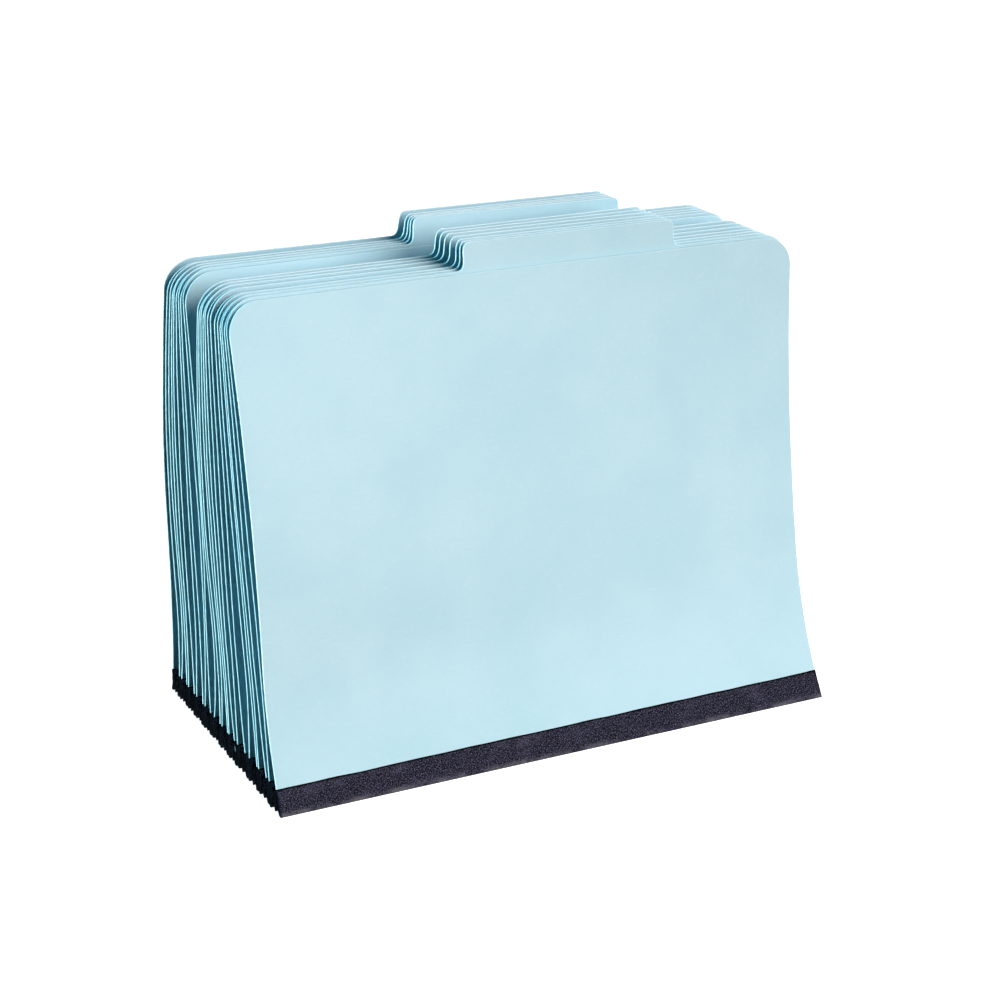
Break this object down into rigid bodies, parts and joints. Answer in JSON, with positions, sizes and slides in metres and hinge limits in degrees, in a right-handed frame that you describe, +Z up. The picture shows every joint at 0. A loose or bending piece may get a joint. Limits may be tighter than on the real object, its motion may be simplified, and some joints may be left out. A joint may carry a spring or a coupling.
{
  "type": "pressboard classification folder set",
  "caption": "Pale blue letter-size pressboard folders with offset tabs, black cloth gussets and prong fasteners, standing in a row on their gussets.",
  "frame": {"origin": "middle of the underside of the standing set, on the plane that the gussets rest on", "axes": "+X along the folders' width towards the side the tabs are nearer to, +Y from the front folder to the rear one, +Z up"},
  "size_m": [0.2986, 0.1584, 0.2479],
  "materials": {
    "pressboard": "matte uncoated fibre board",
    "cloth_tape": "woven cloth tape",
    "fastener_steel": "plated sheet steel"
  },
  "bodies": {
    "folder_12": {"rear_cover_12": "pressboard", "gusset_12": "cloth_tape", "fastener_12": "fastener_steel"},
    "folder_01": {"rear_cover_01": "pressboard", "gusset_01": "cloth_tape", "fastener_01": "fastener_steel"},
    "folder_02": {"rear_cover_02": "pressboard", "gusset_02": "cloth_tape", "fastener_02": "fastener_steel"},
    "folder_03": {"rear_cover_03": "pressboard", "gusset_03": "cloth_tape", "fastener_03": "fastener_steel"},
    "folder_04": {"rear_cover_04": "pressboard", "gusset_04": "cloth_tape", "fastener_04": "fastener_steel"},
    "folder_05": {"rear_cover_05": "pressboard", "gusset_05": "cloth_tape", "fastener_05": "fastener_steel"},
    "folder_06": {"rear_cover_06": "pressboard", "gusset_06": "cloth_tape", "fastener_06": "fastener_steel"},
    "folder_07": {"rear_cover_07": "pressboard", "gusset_07": "cloth_tape", "fastener_07": "fastener_steel"},
    "folder_08": {"rear_cover_08": "pressboard", "gusset_08": "cloth_tape", "fastener_08": "fastener_steel"},
    "folder_09": {"rear_cover_09": "pressboard", "gusset_09": "cloth_tape", "fastener_09": "fastener_steel"},
    "folder_10": {"rear_cover_10": "pressboard", "gusset_10": "cloth_tape", "fastener_10": "fastener_steel"},
    "folder_11": {"rear_cover_11": "pressboard", "gusset_11": "cloth_tape", "fastener_11": "fastener_steel"},
    "front_01": {"front_cover_01": "pressboard", "front_tape_01": "cloth_tape"},
    "front_02": {"front_cover_02": "pressboard", "front_tape_02": "cloth_tape"},
    "front_03": {"front_cover_03": "pressboard", "front_tape_03": "cloth_tape"},
    "front_04": {"front_cover_04": "pressboard", "front_tape_04": "cloth_tape"},
    "front_05": {"front_cover_05": "pressboard", "front_tape_05": "cloth_tape"},
    "front_06": {"front_cover_06": "pressboard", "front_tape_06": "cloth_tape"},
    "front_07": {"front_cover_07": "pressboard", "front_tape_07": "cloth_tape"},
    "front_08": {"front_cover_08": "pressboard", "front_tape_08": "cloth_tape"},
    "front_09": {"front_cover_09": "pressboard", "front_tape_09": "cloth_tape"},
    "front_10": {"front_cover_10": "pressboard", "front_tape_10": "cloth_tape"},
    "front_11": {"front_cover_11": "pressboard", "front_tape_11": "cloth_tape"},
    "front_12": {"front_cover_12": "pressboard", "front_tape_12": "cloth_tape"}
  },
  "joints": [
    {"name": "lean_01", "type": "hinge", "parent": "folder_12", "child": "folder_01", "pos_m": [0, -0.07923, 0], "axis": [1, 0, 0], "range_deg": [0, 12]},
    {"name": "lean_02", "type": "hinge", "parent": "folder_12", "child": "folder_02", "pos_m": [0, -0.06448, 0], "axis": [1, 0, 0], "range_deg": [0, 10.93]},
    {"name": "lean_03", "type": "hinge", "parent": "folder_12", "child": "folder_03", "pos_m": [0, -0.04972, 0], "axis": [1, 0, 0], "range_deg": [0, 9.84]},
    {"name": "lean_04", "type": "hinge", "parent": "folder_12", "child": "folder_04", "pos_m": [0, -0.03497, 0], "axis": [1, 0, 0], "range_deg": [0, 8.75]},
    {"name": "lean_05", "type": "hinge", "parent": "folder_12", "child": "folder_05", "pos_m": [0, -0.02022, 0], "axis": [1, 0, 0], "range_deg": [0, 7.66]},
    {"name": "lean_06", "type": "hinge", "parent": "folder_12", "child": "folder_06", "pos_m": [0, -0.00788, 0], "axis": [1, 0, 0], "range_deg": [0, 6.57]},
    {"name": "lean_07", "type": "hinge", "parent": "folder_12", "child": "folder_07", "pos_m": [0, 0.00447, 0], "axis": [1, 0, 0], "range_deg": [0, 5.47]},
    {"name": "lean_08", "type": "hinge", "parent": "folder_12", "child": "folder_08", "pos_m": [0, 0.01682, 0], "axis": [1, 0, 0], "range_deg": [0, 4.38]},
    {"name": "lean_09", "type": "hinge", "parent": "folder_12", "child": "folder_09", "pos_m": [0, 0.02937, 0], "axis": [1, 0, 0], "range_deg": [0, 3.29]},
    {"name": "lean_10", "type": "hinge", "parent": "folder_12", "child": "folder_10", "pos_m": [0, 0.04192, 0], "axis": [1, 0, 0], "range_deg": [0, 2.2]},
    {"name": "lean_11", "type": "hinge", "parent": "folder_12", "child": "folder_11", "pos_m": [0, 0.05448, 0], "axis": [1, 0, 0], "range_deg": [0, 1.11]},
    {"name": "open_01", "type": "hinge", "parent": "folder_01", "child": "front_01", "pos_m": [0, -0.07923, 0], "axis": [1, 0, 0], "range_deg": [0, 86]},
    {"name": "open_02", "type": "hinge", "parent": "folder_02", "child": "front_02", "pos_m": [0, -0.06448, 0], "axis": [1, 0, 0], "range_deg": [0, 0.84]},
    {"name": "open_03", "type": "hinge", "parent": "folder_03", "child": "front_03", "pos_m": [0, -0.04972, 0], "axis": [1, 0, 0], "range_deg": [0, 0.84]},
    {"name": "open_04", "type": "hinge", "parent": "folder_04", "child": "front_04", "pos_m": [0, -0.03497, 0], "axis": [1, 0, 0], "range_deg": [0, 0.84]},
    {"name": "open_05", "type": "hinge", "parent": "folder_05", "child": "front_05", "pos_m": [0, -0.02022, 0], "axis": [1, 0, 0], "range_deg": [0, 0.84]},
    {"name": "open_06", "type": "hinge", "parent": "folder_06", "child": "front_06", "pos_m": [0, -0.00788, 0], "axis": [1, 0, 0], "range_deg": [0, 0.84]},
    {"name": "open_07", "type": "hinge", "parent": "folder_07", "child": "front_07", "pos_m": [0, 0.00447, 0], "axis": [1, 0, 0], "range_deg": [0, 0.84]},
    {"name": "open_08", "type": "hinge", "parent": "folder_08", "child": "front_08", "pos_m": [0, 0.01682, 0], "axis": [1, 0, 0], "range_deg": [0, 0.84]},
    {"name": "open_09", "type": "hinge", "parent": "folder_09", "child": "front_09", "pos_m": [0, 0.02937, 0], "axis": [1, 0, 0], "range_deg": [0, 0.84]},
    {"name": "open_10", "type": "hinge", "parent": "folder_10", "child": "front_10", "pos_m": [0, 0.04192, 0], "axis": [1, 0, 0], "range_deg": [0, 0.84]},
    {"name": "open_11", "type": "hinge", "parent": "folder_11", "child": "front_11", "pos_m": [0, 0.05448, 0], "axis": [1, 0, 0], "range_deg": [0, 0.84]},
    {"name": "open_12", "type": "hinge", "parent": "folder_12", "child": "front_12", "pos_m": [0, 0.06703, 0], "axis": [1, 0, 0], "range_deg": [0, 0.84]}
  ],
  "couplings": [
    {"joint": "lean_02", "follows": "lean_01", "ratio": 0.9091},
    {"joint": "lean_03", "follows": "lean_01", "ratio": 0.8182},
    {"joint": "lean_04", "follows": "lean_01", "ratio": 0.7273},
    {"joint": "lean_05", "follows": "lean_01", "ratio": 0.6364},
    {"joint": "lean_06", "follows": "lean_01", "ratio": 0.5455},
    {"joint": "lean_07", "follows": "lean_01", "ratio": 0.4545},
    {"joint": "lean_08", "follows": "lean_01", "ratio": 0.3636},
    {"joint": "lean_09", "follows": "lean_01", "ratio": 0.2727},
    {"joint": "lean_10", "follows": "lean_01", "ratio": 0.1818},
    {"joint": "lean_11", "follows": "lean_01", "ratio": 0.0909},
    {"joint": "open_02", "follows": "lean_01", "ratio": 0.0682},
    {"joint": "open_03", "follows": "lean_01", "ratio": 0.0682},
    {"joint": "open_04", "follows": "lean_01", "ratio": 0.0682},
    {"joint": "open_05", "follows": "lean_01", "ratio": 0.0682},
    {"joint": "open_06", "follows": "lean_01", "ratio": 0.0682},
    {"joint": "open_07", "follows": "lean_01", "ratio": 0.0682},
    {"joint": "open_08", "follows": "lean_01", "ratio": 0.0682},
    {"joint": "open_09", "follows": "lean_01", "ratio": 0.0682},
    {"joint": "open_10", "follows": "lean_01", "ratio": 0.0682},
    {"joint": "open_11", "follows": "lean_01", "ratio": 0.0682},
    {"joint": "open_12", "follows": "lean_01", "ratio": 0.0682}
  ]
}
